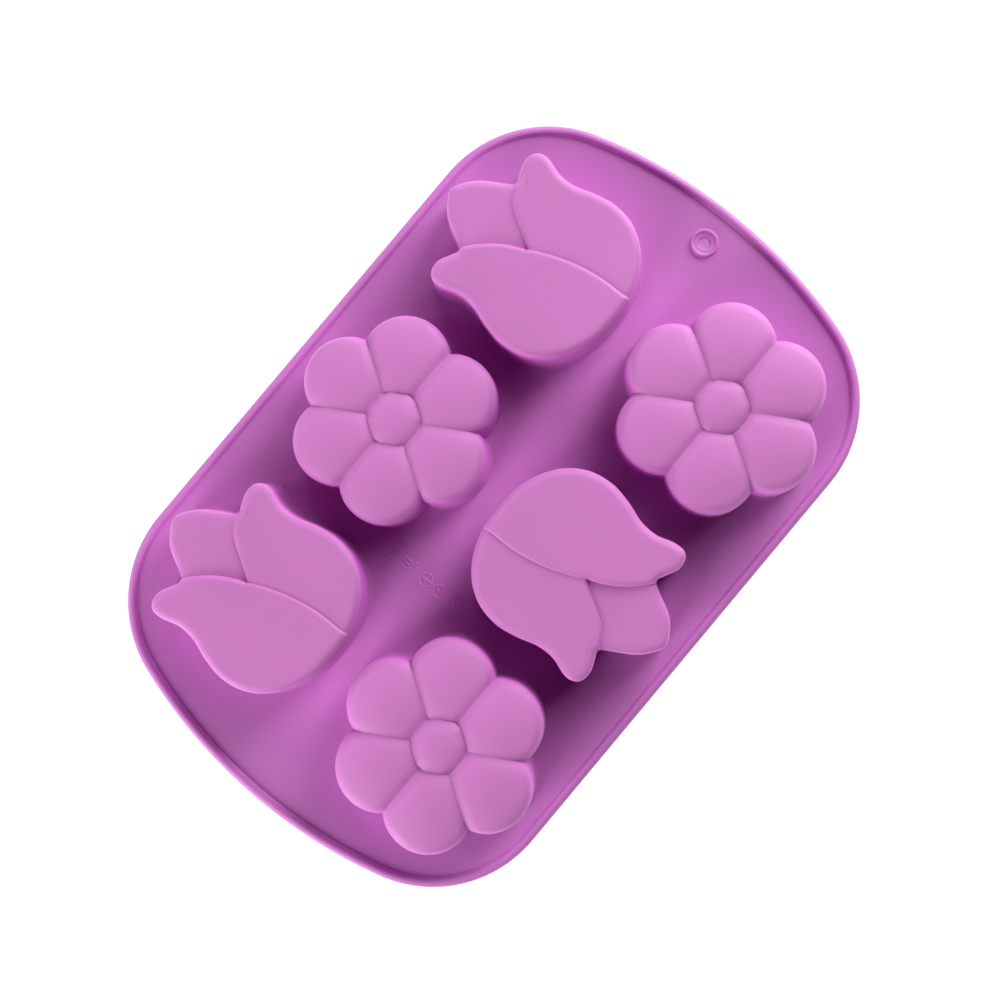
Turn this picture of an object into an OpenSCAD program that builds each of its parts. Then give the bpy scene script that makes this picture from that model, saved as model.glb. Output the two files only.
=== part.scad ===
// Silicone soap mould: six hollow cups, three tulips and three flowers, stand up from a flat deck.
// It lies upside down on its rim bead, with the cup mouths facing the table.
// Origin: centre of the outline on the plane that the rim bead rests on. +X is the long way,
// +Z points out through the cup bottoms.

/* [Mould] */
// Overall length
mould_l = 265; // [255:1:285]
// Overall width
mould_w = 174; // [170:1:190]
// Overall height, from the resting face to the highest cup
mould_h = 25; // [20:0.5:35]
// Radius of the bowed short ends
end_r = 186; // [160:1:240]
// Radius of the four outer corners
corner_r = 46; // [38:1:52]

/* [Deck and rim] */
// Thickness of the flat deck
deck_t = 1.8; // [1.2:0.1:3]
// Gap between the deck's underside and the table
deck_lift = 1.2; // [0.8:0.1:2]
// Width of the rim bead, with the groove along its inner side
bead_w = 3.9; // [3.4:0.1:5]
// Height of the rim bead
bead_h = 4.2; // [3.8:0.1:6]

/* [Cups] */
// Distance between cup centres along the mould
pitch_x = 74.3; // [73:0.1:77]
// Distance between the two rows of cups
pitch_y = 83; // [81:0.5:84]
// Thickness of the cup walls
wall = 2; // [1.5:0.1:2.6]
// Thickness of the cup roofs
roof = 2.2; // [1.6:0.1:3]
// How much wider a cup is at its foot than at its top edge, on each side
draft = 0.5; // [0.2:0.1:1.6]

/* [Tulip] */
// Width of a tulip across its two side petals, at the top edge
tulip_w = 61.6; // [56:0.1:62]
// Length of a tulip, from its base to the tip of its middle petal
tulip_l = 72.2; // [68:0.1:73]
// How far the right-hand petal lies below the front one
side_step = 0.8; // [0.4:0.1:1.2]
// How far the middle petal lies below the front one
mid_step = 1.9; // [1.4:0.1:2.4]

/* [Flower] */
// Distance from the flower's centre to the centre of each round petal
petal_ring_r = 20.9; // [19.5:0.1:21.5]
// Radius of each round petal at its top edge
petal_r = 15.6; // [14.4:0.1:16]
// Distance from the flower's centre to the flats of its six-sided button
button_flat = 9.2; // [8.4:0.1:9.8]

/* [Hang hole and care marks] */
// Diameter of the hole that the mould hangs by
hole_d = 4; // [3:0.1:5]
// Distance from the hole's centre to the end of the mould
hole_inset = 14.5; // [13:0.5:18]
// Diameter of the pad around the hole
boss_d = 11.2; // [10:0.1:13]
// Height of the raised care marks
mark_h = 0.3; // [0.2:0.05:0.5]

/* [Hidden] */
$fn = 48;

SILICONE = [0.76, 0.45, 0.73];
SILICONE_DEEP = [0.68, 0.37, 0.66];
SILICONE_PALE = [0.80, 0.51, 0.78];

deck_z = deck_lift + deck_t; // upper face of the deck
petals = 6;

// The outline's arcs: both ends bow outwards and each corner arc is tangent to end and side.
half_l = mould_l / 2;
half_w = mould_w / 2;
end_cx = half_l - end_r;
corner_cy = half_w - corner_r;
corner_cx = end_cx + sqrt(pow(end_r - corner_r, 2) - pow(corner_cy, 2));
tangent_a = asin(corner_cy / (end_r - corner_r));
end_steps = 4;
corner_steps = 14;

// Cup centres
hole_x = half_l - hole_inset;
row_y = pitch_y / 2;
TULIP_PLACES = [[pitch_x, row_y, 0], [-pitch_x, row_y, 0], [0, -row_y, 180]];
FLOWER_PLACES = [[0, row_y], [pitch_x, -row_y], [-pitch_x, -row_y]];

// Right half of the tulip's outline, from the middle of its base to the tip of its middle petal.
// The points suit a tulip that is 61.6 wide and 72.2 long, and are scaled to tulip_w and tulip_l.
TULIP_HALF = [
    [0, -36.2], [8.8, -35.6], [17.5, -32.5], [24.6, -27.3], [29.3, -20], [30.8, -11.5],
    [29.5, -3.5], [27.2, 4], [27, 10.5], [28.8, 16.5], [28.5, 20.8], [26.2, 22.8],
    [22.6, 23], [18.4, 21.2], [15.4, 20.4], [13, 22.6], [8.8, 30.2], [4.4, 34.2], [0, 36]
];
NOTCH = 15; // where in TULIP_HALF a side petal meets the middle one
FOLD_END = 1; // where in TULIP_HALF the front petal's edge reaches the base
FORK = [-0.6, 2.6]; // where the edges of the three petals meet
fold_bow = 2.6; // how far the front petal's lower edge bows to the right
fold_reach = 9; // how many outline points on each side follow that bow
step_w = 0.3; // half the width of the step between two petals

// Care marks
mark_x = -36; // where the row of marks crosses the mould
mark_pitch = 5.3;
line_w = 0.45;
ring_r = 2.3;

// Levels of the roofs below the cup's top
flower_edge = 4.2; // where a flower's wall starts to round over
flower_fall = 1.5; // how much a petal's dome falls over 12 mm
button_fall = 1.9; // crease around the button
flower_rays = 10; // points around each petal

// ---- outline functions ----

function reversed(v) = [for (i = [len(v) - 1:-1:0]) v[i]];

function flipped_x(v) = [for (p = v) [-p.x, p.y]];

function flipped_y(v) = [for (p = v) [p.x, -p.y]];

function without_first(v) = [for (i = [1:len(v) - 1]) v[i]];

function flat(v) = [for (p = v) [p.x, p.y]];

function at_height(v, z) = [for (p = v) [p.x, p.y, z]];

function unit(v) = v / norm(v);

// One quarter of the mould's outline, set in by the given distance
function quarter(inset) = concat(
    [for (i = [0:end_steps])
        let (a = tangent_a * i / end_steps)
        [end_cx + (end_r - inset) * cos(a), (end_r - inset) * sin(a)]],
    [for (i = [1:corner_steps])
        let (a = tangent_a + (90 - tangent_a) * i / corner_steps)
        [corner_cx + (corner_r - inset) * cos(a), corner_cy + (corner_r - inset) * sin(a)]]
);

// The whole outline, anticlockwise from the middle of the +X end
function outline(inset = 0) =
    let (q = quarter(inset), upper = concat(q, reversed(flipped_x(q))))
    concat(upper, without_first(reversed(without_first(flipped_y(upper)))));

// ---- tulip ----

// A point on a smooth curve that passes through b and c, on the way from a to d
function curve_point(a, b, c, d, t) =
    0.5 * (2 * b + (c - a) * t + (2 * a - 5 * b + 4 * c - d) * t * t
        + (3 * b - a - 3 * c + d) * t * t * t);

// A smooth closed curve through the points, with one more point in the middle of each span
function closed_curve(v) =
    let (n = len(v))
    [for (i = [0:n - 1], t = [0, 0.5])
        curve_point(v[(i + n - 1) % n], v[i], v[(i + 1) % n], v[(i + 2) % n], t)];

tulip_scale = [tulip_w / 61.6, tulip_l / 72.2];
fork = [FORK.x * tulip_scale.x, FORK.y * tulip_scale.y];
tulip_half = [for (p = TULIP_HALF) [p.x * tulip_scale.x, p.y * tulip_scale.y]];
tulip_curve = closed_curve(
    concat(tulip_half, reversed(flipped_x([for (i = [1:len(tulip_half) - 2]) tulip_half[i]]))));
tulip_n = len(tulip_curve);

// The first and last outline point of each petal, anticlockwise, and its depth below the top.
// Where two petals meet, each has its own copy of the shared point, for the step between them.
PETALS = [
    [2 * FOLD_END, 2 * NOTCH, side_step],
    [2 * NOTCH, tulip_n - 2 * NOTCH, mid_step],
    [tulip_n - 2 * NOTCH, tulip_n + 2 * FOLD_END, 0]
];

// Every ray from the fork to the outline: [outline point, side of the step, share of the bow, depth]
TULIP_RAYS = [for (p = PETALS, i = [p[0]:p[1]]) [
    tulip_curve[i % tulip_n],
    i == p[0] ? 1 : i == p[1] ? -1 : 0,
    max(0, 1 - min(abs(i - 2 * FOLD_END), abs(i - 2 * FOLD_END - tulip_n)) / (2 * fold_reach)),
    p[2]
]];

// A point on a ray: the outline grown by g, then the given share of the way out from the fork
function ray_point(ray, g, share) =
    let (
        end = [ray[0].x * (1 + g / (tulip_w / 2)), ray[0].y * (1 + g / (tulip_l / 2))],
        way = end - fork,
        left = unit([-way.y, way.x])
    )
    fork + share * way + ray[1] * step_w * left
        + ray[2] * fold_bow * 4 * share * (1 - share) * [1, 0];

// One ring of the tulip: its height follows each petal's depth if follow is 1
function tulip_ring(g, share, z, follow = 1) =
    [for (ray = TULIP_RAYS) let (p = ray_point(ray, g, share)) [p.x, p.y, z - follow * ray[3]]];

// Rings of the tulip's form from the mouth up: the outside, or set in and dropped, the hollow
function tulip_rings(inset, top) = [
    tulip_ring(draft - inset, 1, deck_lift, 0),
    tulip_ring(draft - inset, 1, deck_z, 0),
    tulip_ring(-inset, 1, top - 2),
    tulip_ring(-inset - 0.6, 1, top - 0.7),
    tulip_ring(-inset - 1.9, 1, top),
    tulip_ring(-inset - 1.9, 0.6, top),
    tulip_ring(-inset - 1.9, 0.2, top)
];

// ---- flower ----

// How far the round petals reach from the flower's centre, at angle a from a petal's axis
function petal_reach(a, r) = petal_ring_r * cos(a) + sqrt(r * r - pow(petal_ring_r * sin(a), 2));

// A point of a petal's dome or edge, share of the way from the button's flat to the petal's end
function petal_point(a, axis, r, share, top) =
    let (
        inner = button_flat / cos(a),
        reach = inner + share * (petal_reach(a, r) - inner),
        off_centre = norm([reach * cos(a) - petal_ring_r, reach * sin(a)])
    )
    [reach * cos(a + axis), reach * sin(a + axis), top - flower_fall * pow(off_centre / 12, 2)];

// Every ray of the flower: its angle from its petal's axis, and that axis
function flower_angles() = [for (i = [0:petals - 1], k = [0:flower_rays - 1])
    [(k / flower_rays - 0.5) * 360 / petals, (i + 0.5) * 360 / petals]];

// A ring around the six petals, each of radius r
function flower_wall(r, z) = [for (a = flower_angles())
    [petal_reach(a[0], r) * cos(a[0] + a[1]), petal_reach(a[0], r) * sin(a[0] + a[1]), z]];

// A ring across the petals' domes
function flower_dome(r, share, top) = [for (a = flower_angles()) petal_point(a[0], a[1], r, share, top)];

// A ring of the button: six-sided at its crease and rounder towards its top
function flower_button(share, z) = [for (a = flower_angles())
    let (reach = share * button_flat / pow(cos(a[0]), share))
    [reach * cos(a[0] + a[1]), reach * sin(a[0] + a[1]), z]];

// Rings of the flower's form from the mouth up: the outside, or set in and dropped, the hollow
function flower_rings(inset, top) = let (r = petal_r - inset) [
    flower_wall(r + draft, deck_lift),
    flower_wall(r + draft, deck_z),
    flower_wall(r, top - flower_edge),
    flower_wall(r - 0.4, top - flower_edge * 0.7),
    flower_dome(r, 0.9, top),
    flower_dome(r, 0.6, top),
    flower_dome(r, 0.25, top),
    flower_button(1, top - button_fall),
    flower_button(0.84, top - button_fall * 0.5),
    flower_button(0.5, top - button_fall * 0.14)
];

// ---- cup shell ----

// A cup of even wall: outer and inner rings from the mouth up, each closed by its own tip
module cup_shell(outer, inner, outer_tip, inner_tip) {
    n = len(outer[0]);
    first_in = len(outer) * n; // index of the first inner point
    last_out = (len(outer) - 1) * n;
    last_in = first_in + (len(inner) - 1) * n;
    tips = first_in + len(inner) * n;
    polyhedron(
        points = concat([for (r = outer, p = r) p], [for (r = inner, p = r) p], [outer_tip, inner_tip]),
        faces = [for (i = [0:n - 1]) let (j = (i + 1) % n) each concat(
            [for (k = [0:n:last_out - n]) [k + i, k + n + i, k + n + j, k + j]],
            [[last_out + i, tips, last_out + j]],
            [for (k = [first_in:n:last_in - n]) [k + j, k + n + j, k + n + i, k + i]],
            [[last_in + j, tips + 1, last_in + i]],
            [[i, j, first_in + j, first_in + i]]
        )]
    );
}

module tulip_cup(place) {
    under = mould_h - roof;
    color(SILICONE_PALE)
    translate([place.x, place.y, 0])
    rotate([0, 0, place.z])
    cup_shell(
        tulip_rings(0, mould_h),
        tulip_rings(wall, under),
        [fork.x, fork.y, mould_h - side_step],
        [fork.x, fork.y, under - side_step]
    );
}

module flower_cup(place) {
    under = mould_h - roof;
    color(SILICONE_PALE)
    translate([place.x, place.y, 0])
    cup_shell(
        flower_rings(0, mould_h),
        flower_rings(wall, under),
        [0, 0, mould_h],
        [0, 0, under]
    );
}

// ---- sub-parts ----

// Flat web between the cups, open under each cup and around the hang hole's pad
module deck() {
    color(SILICONE)
    translate([0, 0, deck_lift])
    linear_extrude(deck_t)
    difference() {
        polygon(outline(bead_w));
        for (p = TULIP_PLACES)
            translate([p.x, p.y])
            rotate(p.z)
            polygon(flat(tulip_ring(draft, 1, 0)));
        for (p = FLOWER_PLACES)
            translate(p)
            polygon(flat(flower_wall(petal_r + draft, 0)));
        translate([hole_x, 0])
        circle(boss_d / 2);
    }
}

// Rounded bead around the edge, with a narrow groove where it meets the deck.
// Each profile point is a distance in from the outline and a height.
module rim_bead() {
    groove_z = deck_z - 0.4;
    profile = [
        [0.7, 0], [0.1, 0.7], [0, 1.6], [0, bead_h - 1.5], [0.3, bead_h - 0.6],
        [1.0, bead_h - 0.1], [1.9, bead_h], [2.6, bead_h - 0.3], [3.1, bead_h - 1],
        [bead_w - 0.6, groove_z], [bead_w - 0.25, groove_z], [bead_w, deck_z],
        [bead_w, deck_lift], [3.1, 0]
    ];
    rings = [for (p = profile) at_height(outline(p.x), p.y)];
    n = len(rings[0]);
    m = len(rings);
    color(SILICONE_DEEP)
    polyhedron(
        points = [for (r = rings, p = r) p],
        faces = [for (k = [0:m - 1], i = [0:n - 1])
            let (j = (i + 1) % n, next = (k + 1) % m)
            [k * n + i, next * n + i, next * n + j, k * n + j]]
    );
}

module tulip_cup_1() { tulip_cup(TULIP_PLACES[0]); }

module tulip_cup_2() { tulip_cup(TULIP_PLACES[1]); }

module tulip_cup_3() { tulip_cup(TULIP_PLACES[2]); }

module flower_cup_1() { flower_cup(FLOWER_PLACES[0]); }

module flower_cup_2() { flower_cup(FLOWER_PLACES[1]); }

module flower_cup_3() { flower_cup(FLOWER_PLACES[2]); }

// Pad with a raised ring, a shallow recess inside it and the hang hole through its floor
module hang_boss() {
    r = boss_d / 2;
    floor_z = deck_z - 0.5;
    color(SILICONE_DEEP)
    translate([hole_x, 0, 0])
    rotate_extrude()
    polygon([
        [hole_d / 2, deck_lift], [r, deck_lift], [r, deck_z], [r - 0.5, deck_z + 0.7],
        [r - 1, deck_z + 1], [r - 1.5, deck_z + 0.7], [r - 1.9, deck_z], [r - 1.9, floor_z],
        [hole_d / 2, floor_z]
    ]);
}

// ---- care marks: six plain pictograms in a row across the deck ----

module ring_mark(r = ring_r) {
    difference() {
        circle(r);
        circle(r - line_w);
    }
}

module bar(length, angle = 0) {
    rotate(angle)
    square([length, line_w], center = true);
}

// Stemmed cup
module cup_mark() {
    difference() {
        polygon([[-1.2, -0.2], [-1.7, 2.2], [1.7, 2.2], [1.2, -0.2]]);
        polygon([[-0.8, 0.2], [-1.15, 1.75], [1.15, 1.75], [0.8, 0.2]]);
    }
    translate([0, -1.1])
    bar(2, 90);
    translate([0, -2.1])
    bar(2.4);
}

// Three upright bars
module bars_mark() {
    for (x = [-1.4, 0, 1.4])
        translate([x, 0])
        bar(3.6, 90);
}

// Rod with a ring on its end
module rod_mark() {
    translate([-0.8, 0])
    bar(3.6);
    translate([1.75, 0])
    ring_mark(1);
}

module care_marks() {
    color(SILICONE_PALE)
    translate([mark_x, 0, deck_z])
    linear_extrude(mark_h) {
        translate([0, 2.5 * mark_pitch])
        rotate(-90)
        cup_mark();
        translate([0, 1.5 * mark_pitch])
        bars_mark();
        translate([0, 0.75 * mark_pitch])
        rod_mark();
        for (i = [0:2])
            translate([0, (-0.2 - 1.12 * i) * mark_pitch]) {
                ring_mark();
                bar(2 * ring_r - line_w, 35 + 55 * i);
            }
    }
}

deck();
rim_bead();
tulip_cup_1();
tulip_cup_2();
tulip_cup_3();
flower_cup_1();
flower_cup_2();
flower_cup_3();
hang_boss();
care_marks();
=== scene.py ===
"""Looks of the silicone soap mould: six hollow cups on a flat deck with a rounded rim bead.

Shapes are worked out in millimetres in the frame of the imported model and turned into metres
when a piece is made. Every piece is one closed solid that replaces one node of the frame.
Neighbouring pieces meet on the flat of the deck, so the mould looks like one moulding.
"""

import math

import bmesh
import bpy
import numpy as np
from mathutils import Matrix, Vector
from mathutils.geometry import delaunay_2d_cdt


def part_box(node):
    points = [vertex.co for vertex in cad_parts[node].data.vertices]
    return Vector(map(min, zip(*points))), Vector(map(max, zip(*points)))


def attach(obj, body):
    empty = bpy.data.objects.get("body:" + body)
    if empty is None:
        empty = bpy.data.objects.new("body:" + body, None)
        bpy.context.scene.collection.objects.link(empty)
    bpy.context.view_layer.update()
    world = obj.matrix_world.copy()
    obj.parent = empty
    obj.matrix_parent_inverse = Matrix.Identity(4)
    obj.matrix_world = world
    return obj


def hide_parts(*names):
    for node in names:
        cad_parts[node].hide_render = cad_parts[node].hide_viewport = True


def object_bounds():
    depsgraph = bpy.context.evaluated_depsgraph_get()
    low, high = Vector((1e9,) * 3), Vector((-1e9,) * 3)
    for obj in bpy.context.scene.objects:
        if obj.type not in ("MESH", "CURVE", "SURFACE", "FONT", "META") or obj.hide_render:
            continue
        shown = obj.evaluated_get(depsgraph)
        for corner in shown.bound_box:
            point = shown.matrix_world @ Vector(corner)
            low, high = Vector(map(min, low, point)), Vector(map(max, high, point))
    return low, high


MM = 0.001

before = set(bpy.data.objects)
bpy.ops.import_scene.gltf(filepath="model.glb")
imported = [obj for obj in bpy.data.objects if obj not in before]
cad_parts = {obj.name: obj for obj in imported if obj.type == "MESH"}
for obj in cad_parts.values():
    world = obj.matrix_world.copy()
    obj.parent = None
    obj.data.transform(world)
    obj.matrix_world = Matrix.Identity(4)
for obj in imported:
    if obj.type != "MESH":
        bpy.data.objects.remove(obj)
cad_low, cad_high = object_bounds()

# ---- sizes taken from the frame, in millimetres ----


def box_mm(node):
    """Lowest and highest corner of a node of the frame."""
    low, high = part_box(node)
    return np.array(low) / MM, np.array(high) / MM


deck_low, deck_high = box_mm("deck")
bead_low, bead_high = box_mm("rim_bead")
DECK_TOP = deck_high[2]
DECK_UNDER = deck_low[2]
HALF_L = bead_high[0]
HALF_W = bead_high[1]
BEAD_W = HALF_L - deck_high[0]
BEAD_H = bead_high[2]
TOP = cad_high.z / MM

# The outline: both short ends bow outwards, and each corner arc is tangent to end and side.
END_R = 186.0
CORNER_R = 46.0
END_CX = HALF_L - END_R
CORNER_CY = HALF_W - CORNER_R
CORNER_CX = END_CX + math.sqrt((END_R - CORNER_R) ** 2 - CORNER_CY**2)
TANGENT_A = math.asin(CORNER_CY / (END_R - CORNER_R))

# Walls
WALL = 2.0
ROOF = 2.2
DRAFT = 0.5  # how much wider a cup is at its foot than at its top edge
FILLET = 0.9  # blend between wall and deck
FLANGE = 1.5  # width of deck around a foot that belongs to the cup's piece
INNER_EDGE = 0.6  # size of the top edge's rounding inside a cup, as a share of the outer one
FLOWER_INNER_EDGE_W = 0.55  # the same share for the width of the flowers' rounding

# Tulip: right half of its outline, from the middle of the base to the tip of the middle petal
TULIP_HALF = [
    (0, -36.2), (8.8, -35.6), (17.5, -32.5), (24.6, -27.3), (29.3, -20), (30.8, -11.5),
    (29.5, -3.5), (27.2, 4), (27, 10.5), (28.8, 16.5), (28.9, 20.9), (26.7, 23.2),
    (22.8, 23.6), (18.3, 21.5), (15.4, 20.4), (13.3, 22.9), (8.8, 30.2), (4.4, 34.2), (0, 36.2),
]
TIP_POINTS = range(16, 21)  # the outline points of the middle petal's tip
TIP_LEAN = np.array([-0.45, 0.5])  # they lean this far off the outline's mirror line
RIGHT_TIP_POINTS = range(10, 13)  # the outline points of the right-hand petal's tip
RIGHT_TIP_LEAN = np.array([-0.37, -0.6])  # it is this much shorter than the front petal's
FORK = np.array([-0.6, 2.6])  # where the edges of the three petals meet
FOLD_END = 1.0  # where along TULIP_HALF the front petal's edge reaches the base
NOTCH = 14.45  # where along TULIP_HALF a side petal meets the middle one
SIDE_STEP = 0.8  # how far the right-hand petal lies below the front one
MID_STEP = 1.9  # how far the middle petal lies below the front one
TULIP_EDGE_W = 3.3  # width of the rounding along the top edge
TULIP_EDGE_H = 2.6  # height of that rounding
STEP_W = 1.9  # width of the rounding along a petal that lies over its neighbour
FOLD_BOW = 2.6  # how far the fold between front and right petal bows
RIGHT_BOW = 12  # strength of the bow of the crease beside the right-hand petal
LEFT_BOW = 1.3  # how far the crease beside the front petal bows the other way
FOLD_REACH = 9  # the rays beside a fold or crease bow with it, over this many spans
CREASE_REACH = 5

# Flower
PETALS = 6
PETAL_RING_R = 20.9  # from the flower's centre to a petal's centre
PETAL_R = 15.6  # radius of a petal
PETAL_FALL = 1.55  # how much a petal's dome falls over PETAL_FALL_R
PETAL_FALL_R = 12
FLOWER_EDGE_W = 3.6  # width of the rounding along the top edge
FLOWER_EDGE_H = 2.9  # height of that rounding
CREASE_W = 3.0  # width of the rounding beside a crease
CREASE_H = 0.65  # depth of a crease
CREASE_POWER = 2.2  # how steeply the rounding ends in the crease
CREASE_HOLLOW = 0.8  # how wide the crease's bottom is rounded out
BUTTON_FLAT = 8.95  # from the flower's centre to the flats of its six-sided button
BUTTON_CORNER_R = 5.2  # radius of the button's six corners
BUTTON_DROP = 0.1  # the button's top lies this far below the petals'


# ---- small helpers ----


def bulge(x, width, height):
    """Fall of a rounded edge: height at x = 0, bending softly to 0 at x = width."""
    power = 2.3  # 2 would make it a quarter of an ellipse
    t = 1 - np.clip(x / width, 0, 1)
    return height * (1 - np.sqrt(np.clip(1 - t**power, 0, 1)))


def soft_fall(x, width, height, power=3.0, hollow=0.0):
    """Like bulge(), but sloping at its low end, which is rounded out over the width of hollow."""
    smooth_x = np.hypot(x, hollow) - hollow
    t = 1 - np.clip(smooth_x / width, 0, 1)
    return height * t**power


def closed_curve(points, steps):
    """A smooth closed curve through the points, with that many steps in each span."""
    p = np.asarray(points, float)
    t = np.linspace(0, 1, steps, endpoint=False)[None, :, None]
    a = np.roll(p, 1, 0)[:, None]
    b = p[:, None]
    c = np.roll(p, -1, 0)[:, None]
    d = np.roll(p, -2, 0)[:, None]
    cubic = (3 * b - a - 3 * c + d) * t**3
    square = (2 * a - 5 * b + 4 * c - d) * t**2
    return (0.5 * (2 * b + (c - a) * t + square + cubic)).reshape(-1, 2)


def nearest(points, line):
    """Distance from each point to a line of points, and the share of the way along it."""
    start, way = line[:-1], np.diff(line, axis=0)
    along = ((points[:, None] - start) * way).sum(2) / (way**2).sum(1)
    along = np.clip(along, 0, 1)
    gap = np.linalg.norm(points[:, None] - (start + along[..., None] * way), axis=2)
    best = gap.argmin(1)
    rows = np.arange(len(points))
    return gap[rows, best], (best + along[rows, best]) / len(way)


def with_height(points, z):
    """Flat points lifted to z, which is one height or one for each point."""
    return np.column_stack([points, np.broadcast_to(z, len(points))])


def rounded_corner(start, corner, end, places):
    """Rings from start to end on a curve that bends around the corner."""
    return [(1 - t) ** 2 * start + 2 * t * (1 - t) * corner + t**2 * end for t in places]


def turn_outward(mesh):
    """Turns the faces of every closed part of the mesh outward."""
    shell = bmesh.new()
    shell.from_mesh(mesh)
    bmesh.ops.recalc_face_normals(shell, faces=shell.faces)
    shell.to_mesh(mesh)
    shell.free()


def build_mesh(name, verts_mm, faces, sharp_deg=40):
    """A mesh object in metres, smooth except along edges that turn by more than sharp_deg."""
    mesh = bpy.data.meshes.new(name)
    mesh.from_pydata((np.asarray(verts_mm) * MM).tolist(), [], faces)
    turn_outward(mesh)
    mesh.polygons.foreach_set("use_smooth", [True] * len(mesh.polygons))
    mesh.set_sharp_from_angle(angle=math.radians(sharp_deg))
    mesh.validate()
    piece = bpy.data.objects.new(name, mesh)
    bpy.context.scene.collection.objects.link(piece)
    return piece


def shell_faces(ring_count, n, first_tip, last_tip):
    """Quads between rings of n points, with a fan to a tip at either end."""
    i = np.arange(n)
    j = (i + 1) % n
    quads = [
        np.column_stack([k * n + i, k * n + j, (k + 1) * n + j, (k + 1) * n + i])
        for k in range(ring_count - 1)
    ]
    last = (ring_count - 1) * n
    faces = np.concatenate(quads).tolist()
    faces += np.column_stack([np.full(n, first_tip), j, i]).tolist()
    faces += np.column_stack([np.full(n, last_tip), last + i, last + j]).tolist()
    return faces


def tube(rings):
    """Vertices and faces of a closed tube: each ring is closed, and the last meets the first."""
    n, m = len(rings[0]), len(rings)
    i = np.arange(n)
    j = (i + 1) % n
    faces = []
    for k in range(m):
        after = (k + 1) % m
        faces += np.column_stack([k * n + i, k * n + j, after * n + j, after * n + i]).tolist()
    return np.concatenate(rings), faces


def adopt(piece, node, material):
    """The piece rides on the mould's body, stands for its node and has the silicone's finish."""
    piece.data.materials.append(material)
    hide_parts(node)
    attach(piece, "root")
    return piece


# ---- cups: what tulip and flower share ----


def foot_rings(grown, edge_z):
    """Rings from the top edge down the wall, through the fillet and out over the deck.

    grown(g) is the cup's outline grown by g, and edge_z the height of the top edge.
    """
    drop = edge_z - DECK_TOP
    rings = []
    for share in (0.15, 0.35, 0.6, 0.82):
        rings.append(with_height(grown(DRAFT * share), edge_z - drop * share))
    start = with_height(grown(DRAFT * (1 - FILLET / drop.mean())), DECK_TOP + FILLET)
    corner = with_height(grown(DRAFT), DECK_TOP)
    end = with_height(grown(DRAFT + FILLET), DECK_TOP)
    rings += rounded_corner(start, corner, end, (0, 0.2, 0.4, 0.6, 0.8, 1))
    rings.append(with_height(grown(DRAFT + FLANGE), DECK_TOP))
    return rings


def mouth_rings(grown, edge_z):
    """Rings from the flange's underside in to the mouth and up the inner wall to its top edge."""
    mouth_round = 0.5
    drop = edge_z - DECK_UNDER
    rings = [with_height(grown(DRAFT + FLANGE), DECK_UNDER)]
    lip = with_height(grown(DRAFT - WALL), DECK_UNDER)
    start = with_height(grown(DRAFT - WALL + mouth_round), DECK_UNDER)
    end = with_height(grown(DRAFT - WALL), DECK_UNDER + mouth_round)
    rings += rounded_corner(start, lip, end, (0, 0.33, 0.67, 1))
    for share in (0.2, 0.45, 0.7, 0.88):
        rings.append(with_height(grown(DRAFT * (1 - share) - WALL), DECK_UNDER + drop * share))
    return rings


def make_cup(name, node, rings, tips, material):
    """One closed shell from the top of the cup, over its wall and back up inside it."""
    n = len(rings[0])
    verts = np.concatenate(rings + [np.array(tips)])
    tip = len(rings) * n
    faces = shell_faces(len(rings), n, tip, tip + 1)
    return adopt(build_mesh(name, verts, faces), node, material)


# ---- tulip ----

SPAN_STEPS = 40
TULIP_POINTS = np.array(TULIP_HALF + [(-x, y) for x, y in TULIP_HALF[-2:0:-1]], float)
TULIP_POINTS[TIP_POINTS] += TIP_LEAN
TULIP_POINTS[RIGHT_TIP_POINTS] += RIGHT_TIP_LEAN
SPANS = len(TULIP_POINTS)
TULIP_CURVE = closed_curve(TULIP_POINTS, SPAN_STEPS)
TULIP_LONG = np.concatenate([TULIP_CURVE, TULIP_CURVE[: 2 * SPAN_STEPS]])
TULIP_HALF_W = TULIP_CURVE[:, 0].max()
TULIP_HALF_H = (TULIP_CURVE[:, 1].max() - TULIP_CURVE[:, 1].min()) / 2
TULIP_MID_Y = -0.1  # middle of the node's box, above the cup's own centre


def outline_at(u):
    """The tulip's outline at a place counted in spans from the middle of its base."""
    t = np.asarray(u) * SPAN_STEPS
    i = np.arange(len(TULIP_LONG))
    return np.column_stack([np.interp(t, i, TULIP_LONG[:, k]) for k in (0, 1)])


def petal_places(first, last):
    """Places along the outline from first to last, closer together next to both ends."""
    spacing = 0.75
    dense = np.linspace(first, last, 600)
    run = np.linalg.norm(np.diff(outline_at(dense), axis=0), axis=1).cumsum()
    run = np.concatenate([[0], run])
    near = np.array([0, 0.12, 0.28, 0.48, 0.74, 1.06, 1.45, 1.9])
    middle = np.linspace(near[-1], run[-1] - near[-1], int(run[-1] / spacing))
    stations = np.concatenate([near, middle[1:-1], run[-1] - near[::-1]])
    return np.interp(stations, run, dense)


RIGHT = petal_places(FOLD_END, NOTCH)
MIDDLE = petal_places(NOTCH, SPANS - NOTCH)
FRONT = petal_places(SPANS - NOTCH, SPANS + FOLD_END)
# The end of one petal's row is the start of the next one's
RAYS = np.concatenate([RIGHT[:-1], MIDDLE[:-1], FRONT[:-1]])
RAY_PETAL = np.repeat([1, 2, 0], [len(RIGHT) - 1, len(MIDDLE) - 1, len(FRONT) - 1])
RAY_END = outline_at(RAYS)


def edge_normals():
    """Outward normals of the outline at the rays, evened out over about 2 mm."""
    reach = 0.3  # in spans
    ahead = outline_at((RAYS + reach) % SPANS)
    behind = outline_at((RAYS - reach) % SPANS)
    way = ahead - behind
    normal = np.column_stack([way[:, 1], -way[:, 0]])
    return normal / np.linalg.norm(normal, axis=1)[:, None]


RAY_NORMAL = edge_normals()


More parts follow.
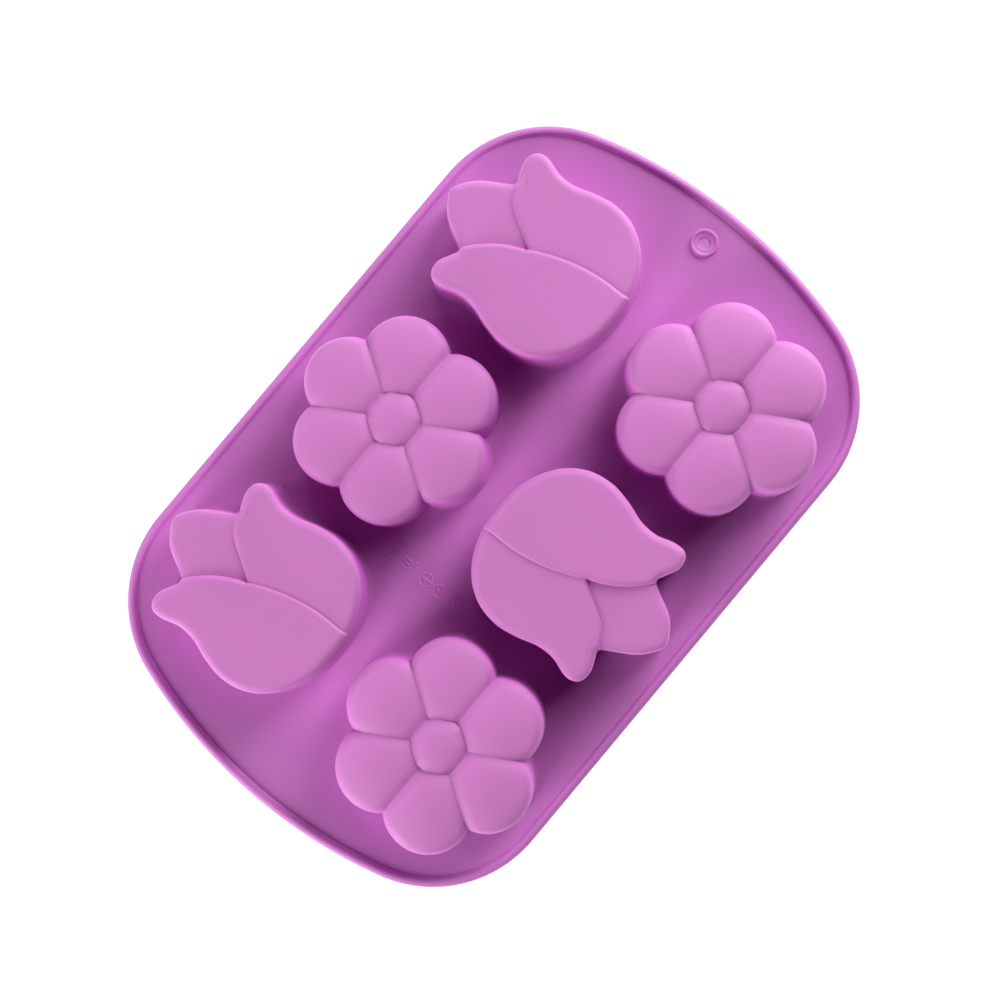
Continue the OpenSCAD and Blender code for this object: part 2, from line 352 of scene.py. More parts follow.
def tulip_outline(g):
    """The outline grown by g: by scaling outwards, or set in along its normals."""
    if g > 0:
        grow = np.array([1 + g / TULIP_HALF_W, 1 + g / TULIP_HALF_H])
        return RAY_END * grow
    return RAY_END + g * RAY_NORMAL


def fade(u, place, reach):
    """1 at that place on the outline, fading to 0 at reach spans from it."""
    away = np.abs((np.asarray(u) - place + SPANS / 2) % SPANS - SPANS / 2)
    return np.clip(1 - away / reach, 0, 1)


def ray_points(u, end, share):
    """Points at that share of the way from the fork to end, on rays that bow with the creases."""
    way = end - FORK
    left = np.column_stack([-way[:, 1], way[:, 0]])
    left /= np.linalg.norm(left, axis=1)[:, None]
    fold = fade(u, FOLD_END, FOLD_REACH) * FOLD_BOW * 4 * share * (1 - share)
    lift = fade(u, NOTCH, CREASE_REACH) * RIGHT_BOW * share**3 * (1 - share)
    lift -= fade(u, SPANS - NOTCH, CREASE_REACH) * LEFT_BOW * 4 * share * (1 - share)
    return FORK + share * way + fold[:, None] * np.array([1, 0]) + lift[:, None] * left


def crease(u):
    """The crease from the fork to that place on the outline, along the mesh's own ray."""
    ray = [int(np.argmin(abs(RAYS - u)))]
    edge_start, edge_end = tulip_outline(-TULIP_EDGE_W)[ray], tulip_outline(0)[ray]
    bowed = [ray_points(RAYS[ray], edge_start, share) for share in np.linspace(0, 1, 60)]
    return np.concatenate([*bowed, edge_end])


FOLD = crease(FOLD_END)  # between front and right petal
RIGHT_CREASE = crease(NOTCH)  # between right and middle petal
LEFT_CREASE = crease(SPANS - NOTCH)  # between middle and front petal
FRONT_EDGE = np.concatenate([FOLD[::-1], LEFT_CREASE[1:]])


def right_depth(points):
    """How far the right-hand petal lies below the cup's top."""
    gap, _ = nearest(points, RIGHT_CREASE)
    return SIDE_STEP + soft_fall(gap, STEP_W, MID_STEP - SIDE_STEP)


FRONT_EDGE_DEPTH = np.where(
    np.arange(len(FRONT_EDGE)) < len(FOLD), right_depth(FRONT_EDGE), MID_STEP
)


def tulip_depth(points):
    """How far each ray's point lies below the cup's top."""
    depth = np.full(len(points), MID_STEP)
    right = (RAY_PETAL == 1) & (RAYS > FOLD_END)
    depth[right] = right_depth(points[right])
    front = (RAY_PETAL == 0) & (RAYS > SPANS - NOTCH)
    gap, share = nearest(points[front], FRONT_EDGE)
    below = np.interp(share * (len(FRONT_EDGE) - 1), np.arange(len(FRONT_EDGE)), FRONT_EDGE_DEPTH)
    depth[front] = soft_fall(gap, STEP_W, below)
    fold = RAYS == FOLD_END
    depth[fold] = right_depth(points[fold])
    return depth


# Where the rings of a cup's top lie, as shares of the way outwards
TOP_SHARES = [
    0.008, 0.018, 0.032, 0.05, 0.072, 0.1, 0.135, 0.18, 0.23, 0.28, 0.34, 0.4, 0.46,
    0.52, 0.58, 0.64, 0.7, 0.76, 0.82, 0.88, 0.94,
]
# Where the rings of the top edge's rounding lie, as shares of its width in from the outline
EDGE_INSETS = [1, 0.8, 0.62, 0.46, 0.32, 0.2, 0.11, 0.045, 0.01, 0]


def tulip_top_rings(inset, top, edge_w, edge_h):
    """Rings from the fork out to the top edge of the outline set in by inset."""
    rings = []
    inner_edge = tulip_outline(-inset - edge_w)
    for share in TOP_SHARES:
        p = ray_points(RAYS, inner_edge, share)
        rings.append(with_height(p, top - tulip_depth(p)))
    for part in EDGE_INSETS:
        p = tulip_outline(-inset - part * edge_w)
        rings.append(with_height(p, top - tulip_depth(p) - bulge(part, 1, edge_h)))
    return rings


def tulip_shell():
    """All rings of a tulip cup in its own place, and the tips that close it."""
    over = tulip_top_rings(0, TOP, TULIP_EDGE_W, TULIP_EDGE_H)
    down = foot_rings(tulip_outline, over[-1][:, 2])
    inner_w, inner_h = TULIP_EDGE_W * INNER_EDGE, TULIP_EDGE_H * INNER_EDGE
    under = tulip_top_rings(WALL, TOP - ROOF, inner_w, inner_h)
    back = mouth_rings(tulip_outline, under[-1][:, 2])
    tips = [[*FORK, TOP - MID_STEP], [*FORK, TOP - ROOF - MID_STEP]]
    return over + down + back + under[::-1], tips


def turned(points, place, quarter_turns):
    """Points in a cup's own place, turned and moved to where the cup stands."""
    p = np.array(points, float)
    c, s = ((1, 0), (0, 1), (-1, 0), (0, -1))[quarter_turns]
    x = p[:, 0] * c - p[:, 1] * s + place[0]
    y = p[:, 0] * s + p[:, 1] * c + place[1]
    return np.column_stack([x, y, p[:, 2:]])


def tulip_place(node, quarter_turns):
    """The cup's centre, from the box of its node."""
    low, high = box_mm(node)
    middle = (low + high) / 2
    sign = 1 if quarter_turns == 0 else -1
    return middle[0], middle[1] - sign * TULIP_MID_Y


# ---- flower ----


def petal_angles():
    """Angles from a petal's axis, closer together next to the creases on its two sides."""
    half = 180 / PETALS
    near = np.array([0, 0.35, 0.8, 1.4, 2.1, 3.0, 4.1])
    middle = np.linspace(-half + near[-1], half - near[-1], 36)
    return np.concatenate([-half + near, middle[1:-1], (half - near[::-1])[:-1]])


PETAL_ANGLES = np.radians(np.tile(petal_angles(), PETALS))
PETAL_AXES = np.radians(np.repeat((np.arange(PETALS) + 0.5) * 360 / PETALS, len(petal_angles())))


def around(reach):
    """Points around the flower at those distances from its centre."""
    a = PETAL_ANGLES + PETAL_AXES
    return np.column_stack([reach * np.cos(a), reach * np.sin(a)])


def petal_reach(r):
    """How far the round petals of radius r reach from the flower's centre."""
    across = PETAL_RING_R * np.sin(PETAL_ANGLES)
    return PETAL_RING_R * np.cos(PETAL_ANGLES) + np.sqrt(r**2 - across**2)


def button_reach(flat, corner_r):
    """How far six sides at flat from the flower's centre reach, with corners of radius corner_r."""
    from_corner = math.pi / PETALS - np.abs(PETAL_ANGLES)
    hub = (flat - corner_r) / math.cos(math.pi / PETALS)
    corner = hub * np.cos(from_corner) + np.sqrt(corner_r**2 - (hub * np.sin(from_corner)) ** 2)
    on_side = flat * np.tan(np.abs(PETAL_ANGLES)) < hub * math.sin(math.pi / PETALS)
    return np.where(on_side, flat / np.cos(PETAL_ANGLES), corner)


def petal_depth(reach):
    """How far a petal lies below the cup's top: its dome, and the rounding beside its creases."""
    off = np.hypot(reach * np.cos(PETAL_ANGLES) - PETAL_RING_R, reach * np.sin(PETAL_ANGLES))
    to_crease = reach * np.sin(math.pi / PETALS - np.abs(PETAL_ANGLES))
    to_button = reach - button_reach(BUTTON_FLAT, BUTTON_CORNER_R)
    dome = PETAL_FALL * (off / PETAL_FALL_R) ** 2
    beside, before = (
        soft_fall(gap, CREASE_W, CREASE_H, CREASE_POWER, CREASE_HOLLOW)
        for gap in (to_crease, to_button)
    )
    return dome + np.hypot(beside, before)


BUTTON_SHARES = [0.12, 0.25, 0.38, 0.5, 0.61, 0.71, 0.8, 0.87, 0.93, 0.97, 0.99]
PETAL_SHARES = [0, 0.012, 0.03, 0.055, 0.09, 0.14, 0.2, 0.28, 0.37, 0.47, 0.58, 0.69, 0.8, 0.9]
BUTTON_RIM_POWER = 16  # only the very edge of the button follows the petals' height


def flower_top_rings(inset, top, edge_w, edge_h):
    """Rings from the middle of the button out to the top edge of petals set in by inset."""
    button = button_reach(BUTTON_FLAT, BUTTON_CORNER_R)
    rim_depth = petal_depth(button)
    rings = []
    for share in BUTTON_SHARES:
        flat = share * BUTTON_FLAT
        reach = button_reach(flat, flat + (share * BUTTON_CORNER_R - flat) * share**2)
        dome = BUTTON_DROP + (rim_depth.min() - BUTTON_DROP) * share**3
        depth = dome + (rim_depth - rim_depth.min()) * share**BUTTON_RIM_POWER
        rings.append(with_height(around(reach), top - depth))
    r = PETAL_R - inset
    outer = petal_reach(r - edge_w)
    for share in PETAL_SHARES:
        reach = button + share * (outer - button)
        rings.append(with_height(around(reach), top - petal_depth(reach)))
    for part in EDGE_INSETS:
        reach = petal_reach(r - part * edge_w)
        depth = petal_depth(reach) + bulge(part, 1, edge_h)
        rings.append(with_height(around(reach), top - depth))
    return rings


def flower_outline(g):
    """The outline of the petals grown by g."""
    return around(petal_reach(PETAL_R + g))


def flower_shell():
    """All rings of a flower cup in its own place, and the tips that close it."""
    over = flower_top_rings(0, TOP, FLOWER_EDGE_W, FLOWER_EDGE_H)
    down = foot_rings(flower_outline, over[-1][:, 2])
    inner_w, inner_h = FLOWER_EDGE_W * FLOWER_INNER_EDGE_W, FLOWER_EDGE_H * INNER_EDGE
    under = flower_top_rings(WALL, TOP - ROOF, inner_w, inner_h)
    back = mouth_rings(flower_outline, under[-1][:, 2])
    tips = [[0, 0, TOP - BUTTON_DROP], [0, 0, TOP - ROOF - BUTTON_DROP]]
    return over + down + back + under[::-1], tips


def flower_place(node):
    """The cup's centre, from the box of its node."""
    low, high = box_mm(node)
    return tuple(((low + high) / 2)[:2])


# ---- outline, rim bead and deck ----


def quarter_outline(inset, end_steps, corner_steps):
    """From the middle of the +X end to the middle of the +Y side, set in by inset."""
    a = np.linspace(0, TANGENT_A, end_steps, endpoint=False)
    b = np.linspace(TANGENT_A, math.pi / 2, corner_steps)
    end = np.column_stack([END_CX + (END_R - inset) * np.cos(a), (END_R - inset) * np.sin(a)])
    r = CORNER_R - inset
    corner = np.column_stack([CORNER_CX + r * np.cos(b), CORNER_CY + r * np.sin(b)])
    side_x = np.linspace(corner[-1, 0], 0, 22)[1:]
    side = np.column_stack([side_x, np.full(len(side_x), HALF_W - inset)])
    return np.concatenate([end, corner, side])


def outline(inset):
    """The whole outline, anticlockwise from the middle of the +X end."""
    q = quarter_outline(inset, 18, 40)
    upper = np.concatenate([q, (q * [-1, 1])[-2::-1]])
    return np.concatenate([upper, (upper * [1, -1])[-2:0:-1]])


def bead_profile():
    """Section of the bead, with a groove on its inside: distance in from the outline, height."""
    foot_r = 0.9
    shoulder_z = 2.0  # the outside is upright below this
    crest_x, crest_w = 1.9, 3.7
    inner_power = 2.8  # how steeply the inside ends in the groove
    outer_rise = BEAD_H - shoulder_z
    inner_rise = BEAD_H - DECK_TOP
    inner_w = crest_w - crest_x
    side = [(0, foot_r + 0.3)]
    outer = [
        (crest_x * (1 - math.cos(t)), shoulder_z + outer_rise * math.sin(t))
        for t in np.linspace(0, math.pi / 2, 11)
    ]
    inner = [
        (crest_x + inner_w * t, DECK_TOP + inner_rise * (1 - t**inner_power))
        for t in np.linspace(0.1, 1, 10)
    ]
    groove = [(crest_w + 0.06, DECK_TOP - 0.05), (crest_w + 0.12, DECK_TOP - 0.06)]
    lip = [(BEAD_W - 0.12, DECK_TOP - 0.04), (BEAD_W - 0.06, DECK_TOP - 0.015)]
    lip += [(BEAD_W, DECK_TOP), (BEAD_W, DECK_UNDER)]
    under = [(crest_w - 0.2, DECK_UNDER), (crest_w - 0.5, 0.15), (crest_w - 0.9, 0), (foot_r, 0)]
    foot = [(foot_r * (1 - math.sin(t)), foot_r * (1 - math.cos(t))) for t in (0.4, 0.8, 1.2)]
    return side + outer + inner + groove + lip + under + foot


def make_bead(material):
    verts, faces = tube([with_height(outline(x), z) for x, z in bead_profile()])
    return adopt(build_mesh("rim_roll", verts, faces), "rim_bead", material)


def inside(points, loop):
    """Which points lie inside a closed loop."""
    x, y = points[:, :1], points[:, 1:]
    a, b = loop, np.roll(loop, -1, 0)
    rise = np.where(b[:, 1] == a[:, 1], 1e-12, b[:, 1] - a[:, 1])
    crossing = a[:, 0] + (y - a[:, 1]) * (b[:, 0] - a[:, 0]) / rise
    hits = ((a[:, 1] > y) != (b[:, 1] > y)) & (x < crossing)
    return hits.sum(1) % 2 == 1


def flat_fill(rim, holes):
    """Triangles that fill the rim around the holes: points, faces, and each loop's first point."""
    pitch = 2.4
    row_pitch = pitch * 0.866  # makes the triangles even-sided
    clearance = pitch * 0.45  # no inner point lies closer to a loop
    loops = [rim] + holes
    gx = np.arange(-HALF_L, HALF_L, pitch)
    gy = np.arange(-HALF_W, HALF_W, row_pitch)
    rows = [
        np.column_stack([gx + (k % 2) * pitch / 2, np.full(len(gx), y)])
        for k, y in enumerate(gy)
    ]
    spare = np.concatenate(rows)
    keep = inside(spare, rim)
    for hole in holes:
        keep &= ~inside(spare, hole)
    spare = spare[keep]
    for loop in loops:
        gap, _ = nearest(spare, np.concatenate([loop, loop[:1]]))
        spare = spare[gap > clearance]
    starts = np.cumsum([0] + [len(loop) for loop in loops])
    points = np.concatenate(loops + [spare])
    edges = [
        (int(s + i), int(s + (i + 1) % len(loop)))
        for s, loop in zip(starts, loops)
        for i in range(len(loop))
    ]
    found = delaunay_2d_cdt([Vector(p) for p in points], edges, [], 0, 1e-7)
    made, faces, origins = found[0], np.array(found[2]), found[3]
    back = [o[0] for o in origins]
    assert len(made) == len(points), "the deck's loops cross each other"
    faces = np.array(back)[faces]
    centre = points[faces].mean(1)
    good = inside(centre, rim)
    for hole in holes:
        good &= ~inside(centre, hole)
    faces = faces[good]
    a, b, c = (points[faces[:, k]] for k in range(3))
    area = (b - a)[:, 0] * (c - a)[:, 1] - (b - a)[:, 1] * (c - a)[:, 0]
    faces[area < 0] = faces[area < 0][:, ::-1]
    return points, faces, starts


def make_deck(holes, material):
    """The flat web: upper and lower face, and a wall along each loop."""
    rim = outline(BEAD_W)
    points, faces, starts = flat_fill(rim, holes)
    n = len(points)
    verts = np.concatenate([with_height(points, DECK_TOP), with_height(points, DECK_UNDER)])
    all_faces = faces.tolist() + (faces[:, ::-1] + n).tolist()
    for k, loop in enumerate([rim] + holes):
        i = starts[k] + np.arange(len(loop))
        j = starts[k] + (np.arange(len(loop)) + 1) % len(loop)
        wall = np.column_stack([i, i + n, j + n, j])
        all_faces += (wall if k == 0 else wall[:, ::-1]).tolist()
    return adopt(build_mesh("deck_web", verts, all_faces), "deck", material)


# ---- hang hole and care marks ----

boss_low, boss_high = box_mm("hang_boss")
BOSS_X = (boss_low[0] + boss_high[0]) / 2
BOSS_R = (boss_high[0] - boss_low[0]) / 2
BOSS_STEPS = 120


def circle(r, steps=BOSS_STEPS):
    """Points on a circle of radius r around 0, 0."""
    a = np.arange(steps) * 2 * math.pi / steps
    return np.column_stack([r * np.cos(a), r * np.sin(a)])


def make_boss(material):
    """Pad with a raised ring, a recess inside it and the hang hole through its floor."""
    hole_r, floor_z = 1.95, DECK_TOP + 0.35
    crest_r, crest_half_w = BOSS_R - 1.15, 0.78
    crest_h = boss_high[2] - DECK_TOP
    fullness = 0.9  # below 1, the ring is fuller than half an ellipse
    a = np.linspace(0, math.pi, 17)
    ring_x = crest_r + crest_half_w * np.cos(a)
    ring = np.column_stack([ring_x, DECK_TOP + crest_h * np.sin(a) ** fullness])
    ring = ring[(a < math.pi / 2) | (ring[:, 1] > floor_z + 0.12)]
    profile = [(BOSS_R, DECK_UNDER), (BOSS_R, DECK_TOP), (crest_r + 0.95, DECK_TOP + 0.02)]
    profile += ring.tolist()
    profile += [(crest_r - 0.85, floor_z + 0.04), (crest_r - 1.0, floor_z)]
    profile += [(hole_r + 0.7, floor_z), (hole_r + 0.35, floor_z - 0.07)]
    profile += [(hole_r + 0.12, floor_z - 0.25), (hole_r, floor_z - 0.55)]
    profile += [(hole_r, DECK_UNDER + 0.2), (hole_r + 0.2, DECK_UNDER)]
    verts, faces = tube([with_height(circle(r) + [BOSS_X, 0], z) for r, z in profile])
    return adopt(build_mesh("hang_ring", verts, faces), "hang_boss", material)


marks_low, marks_high = box_mm("care_marks")
MARK_SHIFT = 0.2  # from the middle of the node's box to the middle of the pictograms
MARK_X = (marks_low[0] + marks_high[0]) / 2 + MARK_SHIFT
MARK_PITCH = 5.3  # between the cup, the bars and the rod, as a unit
RING_PITCH = 6.3  # between the filled rings
RING_R = 2.35
STROKE_W = 0.6
STROKE_ROOT = 0.2  # how deep a stroke reaches into the deck
MARK_H = marks_high[2] - marks_low[2]


def stroke(points, closed=False):
    """A raised line with a round back along the points: its vertices and faces."""
    p = np.array(points, float)
    if closed:
        way = np.roll(p, -1, 0) - np.roll(p, 1, 0)
    else:
        way = np.gradient(p, axis=0)
    way /= np.linalg.norm(way, axis=1)[:, None]
    side = np.column_stack([-way[:, 1], way[:, 0]])
    a = np.linspace(0, math.pi, 7)
    section = [(-STROKE_W / 2 * math.cos(t), MARK_H * math.sin(t)) for t in a]
    section = [(x, DECK_TOP + z) for x, z in section]
    root = DECK_TOP - STROKE_ROOT
    section = [(-STROKE_W / 2, root), *section, (STROKE_W / 2, root)]
    m = len(section)
    verts = np.concatenate([with_height(p + x * side, z) for x, z in section])
    n = len(p)
    faces = []
    spans = n if closed else n - 1
    for k in range(m):
        after = (k + 1) % m
        for i in range(spans):
            j = (i + 1) % n
            faces.append([k * n + i, after * n + i, after * n + j, k * n + j])
    if not closed:
        faces.append([k * n for k in range(m)])
        faces.append([k * n + n - 1 for k in reversed(range(m))])
    return verts, faces


def care_strokes():
    """Plain pictograms in a row across the deck: cup, bars, rod and ring, and three filled rings.

    Each line is its points, whether it closes, and its place along the row in millimetres.
    """
    ring = circle(RING_R, 36)
    cup_y, bars_y, rod_y = 2.55 * MARK_PITCH, 1.55 * MARK_PITCH, 0.8 * MARK_PITCH
    rows = [
        ([(1.9, 1.5), (0.2, 1.2), (0.2, -1.2), (1.9, -1.5)], True, cup_y),
        ([(-0.1, 0), (-1.8, 0)], False, cup_y),
        ([(-2.0, 1), (-2.0, -1)], False, cup_y),
        ([(-2.3, 0), (1, 0)], False, rod_y),
        (circle(0.8, 20) + [1.9, 0], True, rod_y),
    ]
    rows += [([(x, -1.6), (x, 1.6)], False, bars_y) for x in (-1.5, 0, 1.5)]
    # The bars in each ring: where their middle lies, and their angle in degrees
    fillings = [
        [(0, 0, 5), (0, 0, 95)],
        [(0, 0.7, 40), (0, -0.7, 40)],
        [(0, 0, 35), (0.9, -0.6, 125)],
    ]
    for i, bars in enumerate(fillings):
        y = -0.2 * MARK_PITCH - RING_PITCH * i
        rows.append((ring, True, y))
        for off_x, off_y, degrees in bars:
            a = math.radians(degrees)
            end = np.array([math.cos(a), math.sin(a)])
            middle = np.array([off_x, off_y])
            length = 1.7 - 0.9 * float(np.hypot(off_x, off_y))
            rows.append(([middle - length * end, middle + length * end], False, y))
    return rows


def make_marks(material):
    verts, faces, count = [], [], 0
    for line, closed, y in care_strokes():
        v, f = stroke(np.array(line, float) + [MARK_X, y], closed)
        verts.append(v)
        faces += [[i + count for i in face] for face in f]
        count += len(v)
    return adopt(build_mesh("care_symbols", np.concatenate(verts), faces), "care_marks", material)


# ---- material ----


SILICONE = (0.647, 0.207, 0.615)
CLOUD_SHADES = (0.97, 1.03)  # darkest and palest shade of the clouding
PAINTED_TOP_LIGHT = (1.17, 1.205, 1.1, 1)  # painted light: the cups' tops are this much paler than the rest
PAINTED_TOP_LIGHT_FROM = 5.5  # depths below the cups' tops between which that painted light sets in
PAINTED_TOP_LIGHT_FULL = 2.5
# Painted shade: the colour deepens with slope, which also dims the highlights on the top edges:
# (how far the surface faces up, factor on the colour)
PAINTED_SLOPE_SHADE = [
    (0.0, (1.0, 0.8, 1.0)),
    (0.4, (0.94, 0.8, 0.94)),
    (0.82, (0.84, 0.8, 0.85)),
    (0.965, (1.0, 1.0, 1.0)),
]
GLOSS = (0.46, 0.6)  # roughness where the surface is smoothest and most worn
GRAIN_STRENGTH = 0.12
GRAIN_DEPTH = 0.00006


def new_material(name):
    """A material with nodes: itself, its node tree and its shader."""
    material = bpy.data.materials.new(name)
    material.use_nodes = True
    tree = material.node_tree
    return material, tree, tree.nodes["Principled BSDF"]


def add_noise(tree, place, scale, detail, roughness=0.5):
    """Noise in the object's own coordinates."""
    noise = tree.nodes.new("ShaderNodeTexNoise")
    noise.inputs["Scale"].default_value = scale
    noise.inputs["Detail"].default_value = detail
    noise.inputs["Roughness"].default_value = roughness
    tree.links.new(place.outputs["Object"], noise.inputs["Vector"])
    return noise


def add_multiply(tree):
    """A node that multiplies colour A by colour B."""
    mix = tree.nodes.new("ShaderNodeMix")
    mix.data_type = "RGBA"
    mix.blend_type = "MULTIPLY"
    return mix


def clouded_colour(tree, place, paleness):
    """The silicone's own colour with faint clouds in it; a paleness above 1 lightens it as painted
    light.
    """
    clouds = add_noise(tree, place, scale=28, detail=3)
    tone = tree.nodes.new("ShaderNodeValToRGB")
    for element, position, shade in zip(tone.color_ramp.elements, (0.3, 0.7), CLOUD_SHADES):
        element.position = position
        element.color = (*(c * shade * paleness for c in SILICONE), 1)
    tree.links.new(clouds.outputs["Fac"], tone.inputs["Fac"])
    return tone.outputs["Color"]


def painted_light_on_tops(tree, place, colour):
    """The colour, made paler by the height on the mould: painted light on the cups' tops."""
    height = tree.nodes.new("ShaderNodeSeparateXYZ")
    raised = tree.nodes.new("ShaderNodeMapRange")
    raised.inputs["From Min"].default_value = (TOP - PAINTED_TOP_LIGHT_FROM) * MM
    raised.inputs["From Max"].default_value = (TOP - PAINTED_TOP_LIGHT_FULL) * MM
    top_light_mix = add_multiply(tree)
    top_light_mix.inputs["B"].default_value = PAINTED_TOP_LIGHT
    tree.links.new(place.outputs["Object"], height.inputs["Vector"])
    tree.links.new(height.outputs["Z"], raised.inputs["Value"])
    tree.links.new(raised.outputs["Result"], top_light_mix.inputs["Factor"])
    tree.links.new(colour, top_light_mix.inputs["A"])
    return top_light_mix.outputs["Result"]


def add_slope_shade(tree, place, colour):
    """The colour, deepened where the surface slopes: painted shade."""
    slope = tree.nodes.new("ShaderNodeSeparateXYZ")
    shade_ramp = tree.nodes.new("ShaderNodeValToRGB")
    ramp = shade_ramp.color_ramp
    while len(ramp.elements) < len(PAINTED_SLOPE_SHADE):
        ramp.elements.new(0.5)
    for element, (upward, shade) in zip(ramp.elements, PAINTED_SLOPE_SHADE):
        element.position = upward
        element.color = (*shade, 1)
    slope_shaded = add_multiply(tree)
    slope_shaded.inputs["Factor"].default_value = 1.0
    tree.links.new(place.outputs["Normal"], slope.inputs["Vector"])
    tree.links.new(slope.outputs["Z"], shade_ramp.inputs["Fac"])
    tree.links.new(colour, slope_shaded.inputs["A"])
    tree.links.new(shade_ramp.outputs["Color"], slope_shaded.inputs["B"])
    return slope_shaded.outputs["Result"]


def add_surface(tree, place, shader):
    """Uneven gloss and a fine moulded grain."""
    wear = add_noise(tree, place, scale=90, detail=4, roughness=0.6)
    gloss = tree.nodes.new("ShaderNodeMapRange")
    gloss.inputs["To Min"].default_value = GLOSS[0]
    gloss.inputs["To Max"].default_value = GLOSS[1]
    tree.links.new(wear.outputs["Fac"], gloss.inputs["Value"])
    tree.links.new(gloss.outputs["Result"], shader.inputs["Roughness"])
    grain = add_noise(tree, place, scale=2600, detail=2)
    bump = tree.nodes.new("ShaderNodeBump")
    bump.inputs["Strength"].default_value = GRAIN_STRENGTH
    bump.inputs["Distance"].default_value = GRAIN_DEPTH
    tree.links.new(grain.outputs["Fac"], bump.inputs["Height"])
    tree.links.new(bump.outputs["Normal"], shader.inputs["Normal"])


def silicone_material(name="silicone", paleness=1.0):
    """Matte orchid silicone: faint clouding of the colour, painted light on the cups' tops, painted
    shade on slopes, a fine moulded grain and soft sheen; a paleness above 1 gives a paler copy as
    painted light.
    """
    material, tree, shader = new_material(name)
    shader.inputs["Specular IOR Level"].default_value = 0.35
    shader.inputs["Sheen Weight"].default_value = 0.06
    shader.inputs["Sheen Roughness"].default_value = 0.5
    shader.inputs["Sheen Tint"].default_value = (1.0, 0.86, 0.98, 1)
    place = tree.nodes.new("ShaderNodeTexCoord")
    colour = clouded_colour(tree, place, paleness)
    colour = painted_light_on_tops(tree, place, colour)
    colour = add_slope_shade(tree, place, colour)
    tree.links.new(colour, shader.inputs["Base Color"])
    add_surface(tree, place, shader)
    return material


FLOOR_GLOW = 0.7
PAINTED_SHADOW_GLOW = (0.43, 0.24, 0.41, 1)  # painted shadow: colour the table's emission takes under the mould, seen through the hang hole
SHADE_START = 0.95  # where that painted shadow fades to white, as a share of the way to the mould's ends
SHADE_INSET = 0.001  # metres between the end of the fade and the mould's ends


def floor_material():
    """White table that glows a little, with a painted lilac shadow in its emission under the mould.
    """
    material, tree, shader = new_material("table")
    shader.inputs["Base Color"].default_value = (0.8, 0.8, 0.8, 1)
    shader.inputs["Roughness"].default_value = 0.9
    shader.inputs["Emission Strength"].default_value = FLOOR_GLOW
    place = tree.nodes.new("ShaderNodeTexCoord")
    fit = tree.nodes.new("ShaderNodeMapping")
    half_x, half_y = cad_high.x - SHADE_INSET, cad_high.y - SHADE_INSET
    fit.inputs["Scale"].default_value = (1 / half_x, 1 / half_y, 0)
    reach = tree.nodes.new("ShaderNodeVectorMath")
    reach.operation = "LENGTH"
    glow_and_shadow = tree.nodes.new("ShaderNodeValToRGB")
    glow_and_shadow.color_ramp.elements[0].position = SHADE_START
    glow_and_shadow.color_ramp.elements[0].color = PAINTED_SHADOW_GLOW
    glow_and_shadow.color_ramp.elements[1].color = (1, 1, 1, 1)
    tree.links.new(place.outputs["Object"], fit.inputs["Vector"])
    tree.links.new(fit.outputs["Vector"], reach.inputs[0])
    tree.links.new(reach.outputs["Value"], glow_and_shadow.inputs["Fac"])
    tree.links.new(glow_and_shadow.outputs["Color"], shader.inputs["Emission Color"])
    return material


# ---- stage ----


def make_floor():
    """A flat table, which is not part of the mould."""
    half = 4.0
    mesh = bpy.data.meshes.new("table")
    corners = [(-half, -half, 0), (half, -half, 0), (half, half, 0), (-half, half, 0)]
    mesh.from_pydata(corners, [], [(0, 1, 2, 3)])
    mesh.materials.append(floor_material())
    floor = bpy.data.objects.new("table", mesh)
    bpy.context.scene.collection.objects.link(floor)


# Name, azimuth and elevation in degrees, power in watts
LIGHTS = [
    ("end_low", 0, 12, 9.9),
    ("end_mid", 0, 28, 7.3),
    ("end_high", 0, 48, 2.5),
    ("far_end_low", 180, 12, 10.9),
    ("far_end_mid", 180, 28, 5.7),
    ("side_low", 45, 12, 4.1),
    ("side_mid", 45, 28, 1.5),
    ("far_side_low", 135, 12, 4.6),
]
LIGHT_SIZE = 0.6
LIGHT_DISTANCE = 1.3


def add_light(name, azimuth, elevation, power):
    """A square softbox that faces the middle of the mould. Azimuth is measured from +X."""
    light = bpy.data.lights.new(name, "AREA")
    light.size = LIGHT_SIZE
    light.energy = power
    lamp = bpy.data.objects.new(name, light)
    a, e = math.radians(azimuth), math.radians(elevation)
    way = Vector((math.cos(a) * math.cos(e), math.sin(a) * math.cos(e), math.sin(e)))
    lamp.location = way * LIGHT_DISTANCE
    lamp.rotation_euler = way.to_track_quat("Z", "Y").to_euler()
    bpy.context.scene.collection.objects.link(lamp)


def light_scene():
    """Low softboxes at both ends of the mould and weaker ones beside them, in a dark room.

    The room shows white to the camera alone, so that it doesn't fill the gaps between the cups.
    """
    world = bpy.data.worlds.new("studio")
    world.use_nodes = True
    nodes, links = world.node_tree.nodes, world.node_tree.links
    shown = nodes.new("ShaderNodeLightPath")
    background = nodes["Background"]
    background.inputs["Color"].default_value = (1, 1, 1, 1)
    links.new(shown.outputs["Is Camera Ray"], background.inputs["Strength"])
    bpy.context.scene.world = world
    for name, azimuth, elevation, power in LIGHTS:
        add_light(name, azimuth, elevation, power)


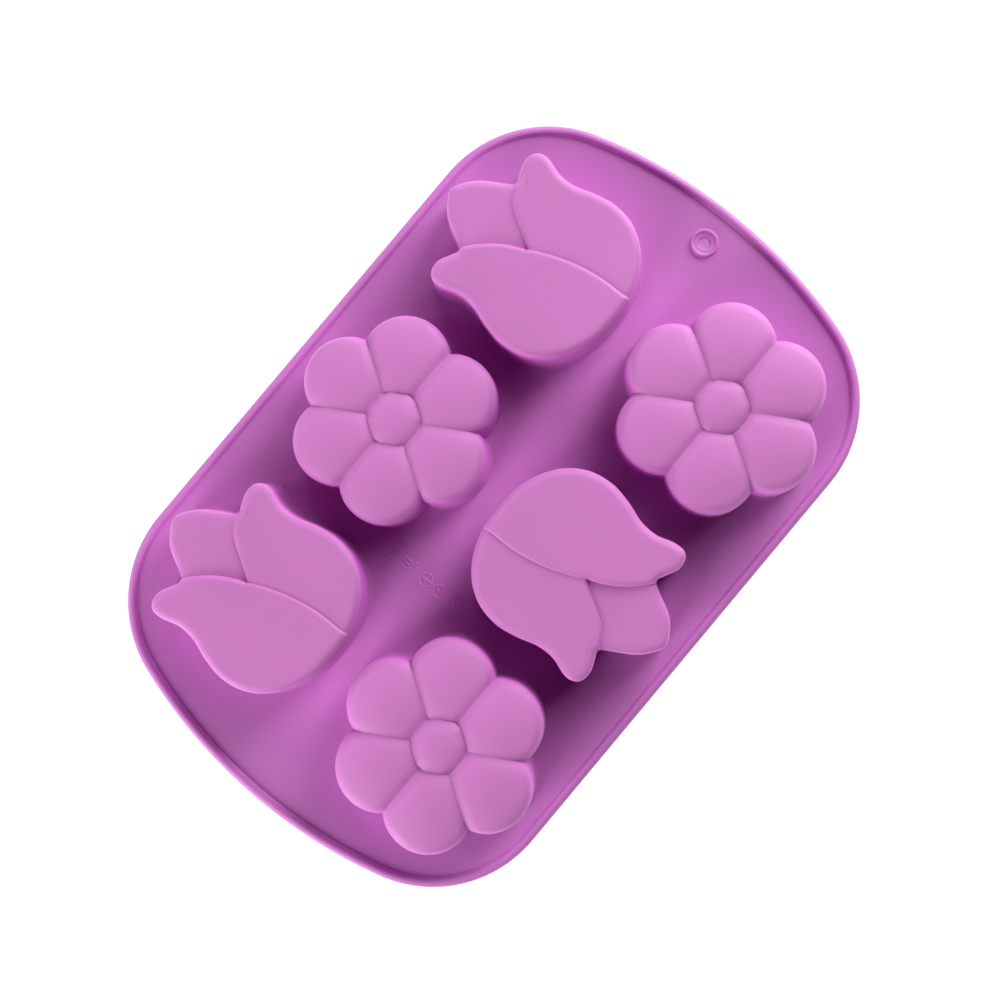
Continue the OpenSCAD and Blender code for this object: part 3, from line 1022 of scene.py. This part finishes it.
CAMERA_PLACE = (0.0026, -0.0384, 0.54)
CAMERA_TURN = 50.03  # degrees about the vertical
CAMERA_TILT = (-5.03, -4.29)  # degrees away from straight down, about its own two axes
SENSOR_W = 36
LENS = 55.04
SHIFT_X = 0.0366
SHIFT_Y = -0.0704


def make_camera():
    """Looks down from above, with the mould's long side turned towards the upper right."""
    turn = math.radians(CAMERA_TURN)
    tilt = Vector((math.radians(CAMERA_TILT[0]), math.radians(CAMERA_TILT[1]), 0))
    data = bpy.data.cameras.new("camera")
    data.sensor_width = SENSOR_W
    data.lens = LENS
    data.shift_x = SHIFT_X
    data.shift_y = SHIFT_Y
    camera = bpy.data.objects.new("camera", data)
    view = Matrix.Rotation(-turn, 4, "Z") @ Matrix.Rotation(-tilt.length, 4, tilt)
    camera.matrix_world = Matrix.Translation(CAMERA_PLACE) @ view
    bpy.context.scene.collection.objects.link(camera)
    bpy.context.scene.camera = camera


# ---- the mould ----


def make_mould():
    """All ten pieces. The deck has a hole for each cup and for the hang ring."""
    silicone = silicone_material()
    holes = []
    tulip_rings, tulip_tips = tulip_shell()
    for k, quarter_turns in enumerate((0, 0, 2), 1):
        node = f"tulip_cup_{k}"
        place = tulip_place(node, quarter_turns)
        rings = [turned(r, place, quarter_turns) for r in tulip_rings]
        tips = turned(tulip_tips, place, quarter_turns)
        make_cup(f"tulip_{k}", node, rings, tips, silicone)
        foot = with_height(tulip_outline(DRAFT + FLANGE), 0)
        holes.append(turned(foot, place, quarter_turns)[:, :2])
    flower_rings, flower_tips = flower_shell()
    for k in (1, 2, 3):
        node = f"flower_cup_{k}"
        place = flower_place(node)
        rings = [turned(r, place, 0) for r in flower_rings]
        make_cup(f"flower_{k}", node, rings, turned(flower_tips, place, 0), silicone)
        holes.append(flower_outline(DRAFT + FLANGE) + place)
    holes.append(circle(BOSS_R) + [BOSS_X, 0])
    make_deck(holes, silicone)
    # The bead and the hang ring get a paler copy of the silicone: painted light on their thin
    # edges.
    lit_edges = silicone_material("silicone_lit_edges", 1.1)
    make_bead(lit_edges)
    make_boss(lit_edges)
    # The care marks get a still paler copy of the silicone: painted light on their raised lines.
    make_marks(silicone_material("silicone_lit_lines", 1.3))


make_camera()
make_mould()
make_floor()
light_scene()
bpy.context.scene.view_settings.view_transform = "Standard"
